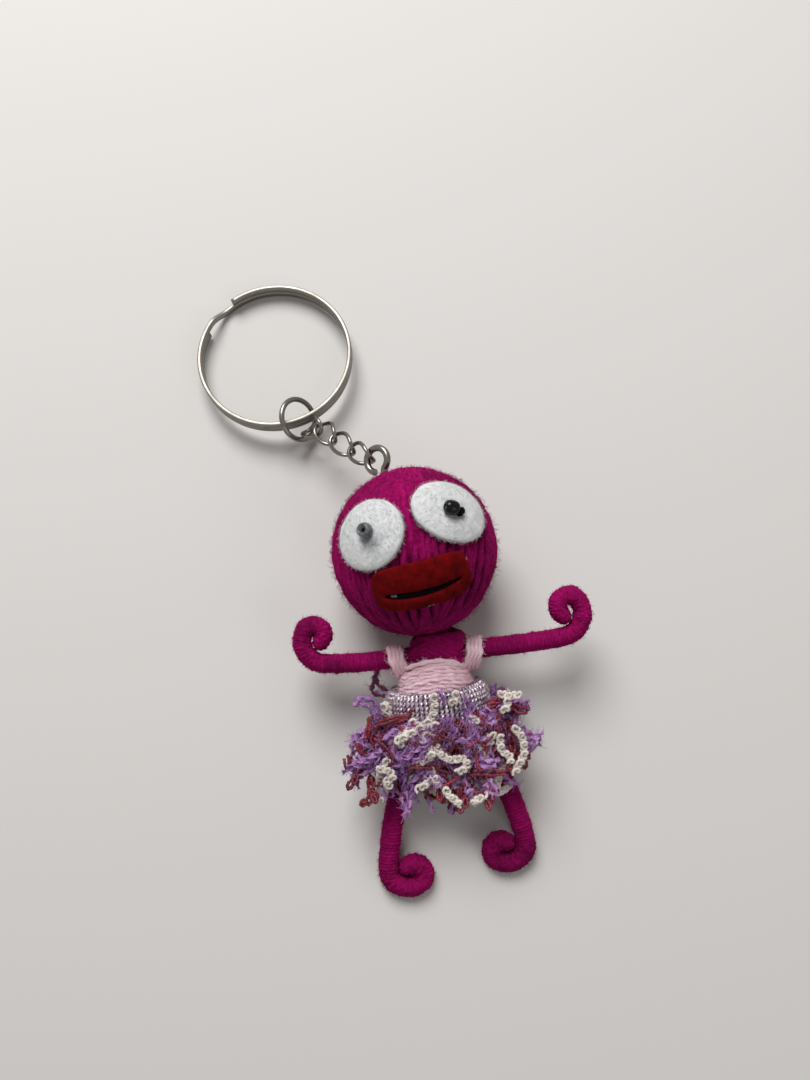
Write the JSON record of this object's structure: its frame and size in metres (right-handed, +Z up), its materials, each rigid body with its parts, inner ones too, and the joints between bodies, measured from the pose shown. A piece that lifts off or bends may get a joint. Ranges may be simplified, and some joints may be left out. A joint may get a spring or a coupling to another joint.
{
  "type": "yarn doll key ring",
  "caption": "Yarn doll lying on its back with a wound head, felt eyes and lips, curled wire-cored arms and legs and a fringed skirt, on a curb chain and a flat split ring.",
  "frame": {"origin": "point on the floor under the middle of the head, in the flat the head rests on", "axes": "doll lies on its back as pictured: +X to the viewer's right, +Y from the feet towards the key ring, +Z up out of the face"},
  "size_m": [0.0605, 0.0958, 0.0254],
  "materials": {
    "magenta_yarn": "matt wound wool yarn",
    "pink_yarn": "soft cotton yarn",
    "fringe_yarn": "lilac ribbon yarn",
    "maroon_yarn": "looped maroon yarn",
    "cream_yarn": "looped cream yarn",
    "silver_band": "woven braid with silver thread",
    "white_felt": "pressed felt",
    "red_felt": "pressed felt",
    "black_felt": "pressed felt",
    "glass_bead": "glossy seed bead",
    "wood": "turned, unpainted",
    "iron_wire": "soft annealed wire",
    "dark_nickel": "dark nickel plate on steel wire",
    "bright_nickel": "bright nickel plate on flat steel"
  },
  "bodies": {
    "head": {"head_core": "wood", "head_winding": "magenta_yarn", "neck_wire": "iron_wire", "eye_felt_left": "white_felt", "eye_felt_right": "white_felt", "pupil_bead_left": "glass_bead", "pupil_bead_right": "glass_bead", "pupil_knot_right": "black_felt", "lips_felt": "red_felt", "mouth_slit": "black_felt", "screw_eye": "dark_nickel"},
    "torso": {"torso_winding": "magenta_yarn", "spine_wire": "iron_wire", "shoulder_wire": "iron_wire", "bodice_winding": "pink_yarn", "strap_left": "pink_yarn", "strap_right": "pink_yarn", "skirt_band": "silver_band", "fringe_tuft_front_1": "fringe_yarn", "fringe_tuft_back_1": "maroon_yarn", "fringe_tuft_front_2": "maroon_yarn", "fringe_tuft_back_2": "cream_yarn", "fringe_tuft_front_3": "cream_yarn", "fringe_tuft_back_3": "fringe_yarn", "fringe_tuft_front_4": "fringe_yarn", "fringe_tuft_back_4": "maroon_yarn", "fringe_tuft_front_5": "maroon_yarn", "fringe_tuft_back_5": "cream_yarn", "fringe_tuft_front_6": "cream_yarn", "fringe_tuft_back_6": "fringe_yarn"},
    "arm_left": {"arm_winding_left": "magenta_yarn", "arm_wire_left": "iron_wire"},
    "arm_right": {"arm_winding_right": "magenta_yarn", "arm_wire_right": "iron_wire"},
    "leg_left": {"leg_winding_left": "magenta_yarn", "leg_wire_left": "iron_wire"},
    "leg_right": {"leg_winding_right": "magenta_yarn", "leg_wire_right": "iron_wire"},
    "chain_link_4": {"chain_link_4": "dark_nickel"},
    "chain_link_3": {"chain_link_3": "dark_nickel"},
    "chain_link_2": {"chain_link_2": "dark_nickel"},
    "chain_link_1": {"chain_link_1": "dark_nickel"},
    "jump_ring": {"jump_ring": "dark_nickel"},
    "split_ring": {"split_ring": "bright_nickel"}
  },
  "joints": [
    {"name": "neck_tilt", "type": "hinge", "parent": "head", "child": "torso", "pos_m": [0.00269, -0.01213, 0.00965], "axis": [0, 0, 1], "range_deg": [-10, 20]},
    {"name": "shoulder_left", "type": "hinge", "parent": "torso", "child": "arm_left", "pos_m": [-0.00493, -0.01559, 0.00882], "axis": [0, -0.2334, 0.9724], "range_deg": [-12, 40]},
    {"name": "shoulder_right", "type": "hinge", "parent": "torso", "child": "arm_right", "pos_m": [0.01095, -0.0137, 0.00928], "axis": [0, -0.2334, 0.9724], "range_deg": [-40, 20]},
    {"name": "hip_left", "type": "hinge", "parent": "torso", "child": "leg_left", "pos_m": [0.00095, -0.02547, 0.00645], "axis": [0, 0, 1], "range_deg": [-25, 10]},
    {"name": "hip_right", "type": "hinge", "parent": "torso", "child": "leg_right", "pos_m": [0.0077, -0.02466, 0.00664], "axis": [0, 0, 1], "range_deg": [-10, 25]},
    {"name": "eye_swing", "type": "hinge", "parent": "head", "child": "chain_link_4", "pos_m": [-0.00704, 0.0149, 0.00895], "axis": [0.278, 0.9068, 0.3169], "range_deg": [-30, 30]},
    {"name": "link_4_swing", "type": "hinge", "parent": "chain_link_4", "child": "chain_link_3", "pos_m": [-0.00984, 0.01648, 0.0078], "axis": [0.4761, 0.8782, 0.0458], "range_deg": [-30, 30]},
    {"name": "link_3_swing", "type": "hinge", "parent": "chain_link_3", "child": "chain_link_2", "pos_m": [-0.01264, 0.01862, 0.00698], "axis": [0.6304, 0.7485, -0.2059], "range_deg": [-30, 30]},
    {"name": "link_2_swing", "type": "hinge", "parent": "chain_link_2", "child": "chain_link_1", "pos_m": [-0.01507, 0.02083, 0.00546], "axis": [0.7424, 0.5613, -0.3657], "range_deg": [-10, 40]},
    {"name": "jump_swing", "type": "hinge", "parent": "chain_link_1", "child": "jump_ring", "pos_m": [-0.01738, 0.02071, 0.00268], "axis": [0.663, 0.4828, -0.5721], "range_deg": [-12, 3]},
    {"name": "ring_swing", "type": "hinge", "parent": "jump_ring", "child": "split_ring", "pos_m": [-0.01832, 0.02254, 0.00362], "axis": [0.9348, 0.3551, 0], "range_deg": [-25, 17]}
  ]
}
